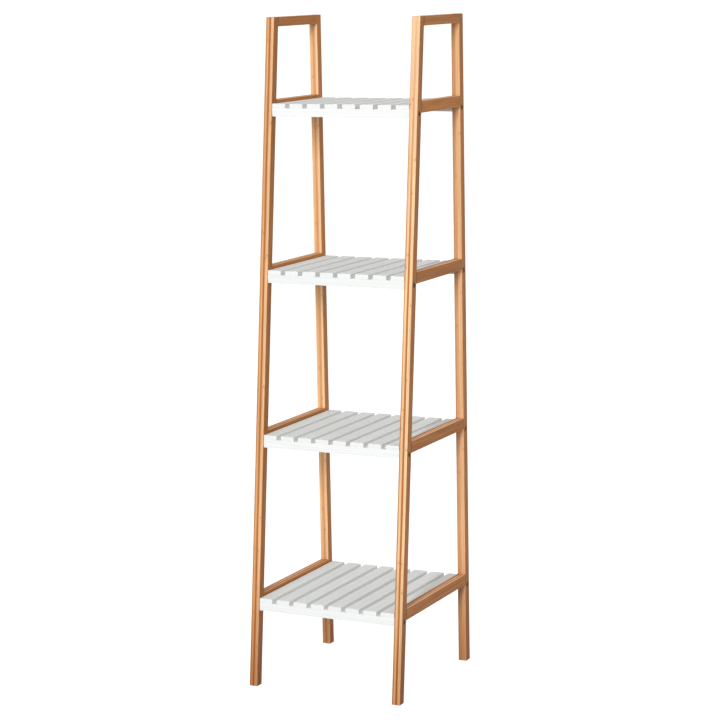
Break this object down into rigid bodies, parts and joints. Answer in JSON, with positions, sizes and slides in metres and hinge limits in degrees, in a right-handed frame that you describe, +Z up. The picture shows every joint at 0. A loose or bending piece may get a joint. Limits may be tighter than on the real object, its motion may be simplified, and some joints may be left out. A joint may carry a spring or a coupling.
{
  "type": "ladder shelf",
  "caption": "Tall free-standing ladder shelf with bamboo side frames and white slatted shelves that get shallower towards the top.",
  "frame": {"origin": "on the floor, under the middle of the bounding box", "axes": "+Z up, front faces -Y, +X to the right when seen from the front"},
  "size_m": [0.34, 0.346, 1.348],
  "materials": {
    "bamboo": "laminated bamboo, clear satin lacquer",
    "white_paint": "solid wood painted white, satin",
    "bolt_steel": "bronzed steel, satin",
    "nut_steel": "zinc plated",
    "beech": "raw beech dowel",
    "pin_steel": "bright steel wire"
  },
  "bodies": {
    "root": {"left_front_leg": "bamboo", "left_rear_leg": "bamboo", "right_front_leg": "bamboo", "right_rear_leg": "bamboo", "left_top_rail": "bamboo", "right_top_rail": "bamboo", "left_rail_1": "bamboo", "left_rail_2": "bamboo", "left_rail_3": "bamboo", "left_rail_4": "bamboo", "right_rail_1": "bamboo", "right_rail_2": "bamboo", "right_rail_3": "bamboo", "right_rail_4": "bamboo", "front_beam_1": "white_paint", "front_beam_2": "white_paint", "front_beam_3": "white_paint", "front_beam_4": "white_paint", "rear_beam_1": "white_paint", "rear_beam_2": "white_paint", "rear_beam_3": "white_paint", "rear_beam_4": "white_paint", "slat_1_1": "white_paint", "slat_1_2": "white_paint", "slat_1_3": "white_paint", "slat_1_4": "white_paint", "slat_1_5": "white_paint", "slat_1_6": "white_paint", "slat_1_7": "white_paint", "slat_1_8": "white_paint", "slat_2_1": "white_paint", "slat_2_2": "white_paint", "slat_2_3": "white_paint", "slat_2_4": "white_paint", "slat_2_5": "white_paint", "slat_2_6": "white_paint", "slat_2_7": "white_paint", "slat_2_8": "white_paint", "slat_3_1": "white_paint", "slat_3_2": "white_paint", "slat_3_3": "white_paint", "slat_3_4": "white_paint", "slat_3_5": "white_paint", "slat_3_6": "white_paint", "slat_3_7": "white_paint", "slat_3_8": "white_paint", "slat_4_1": "white_paint", "slat_4_2": "white_paint", "slat_4_3": "white_paint", "slat_4_4": "white_paint", "slat_4_5": "white_paint", "slat_4_6": "white_paint", "slat_4_7": "white_paint", "slat_4_8": "white_paint", "shelf_bolts": "bolt_steel", "barrel_nuts": "nut_steel", "rail_dowels": "beech", "slat_pins": "pin_steel"}
  },
  "joints": []
}
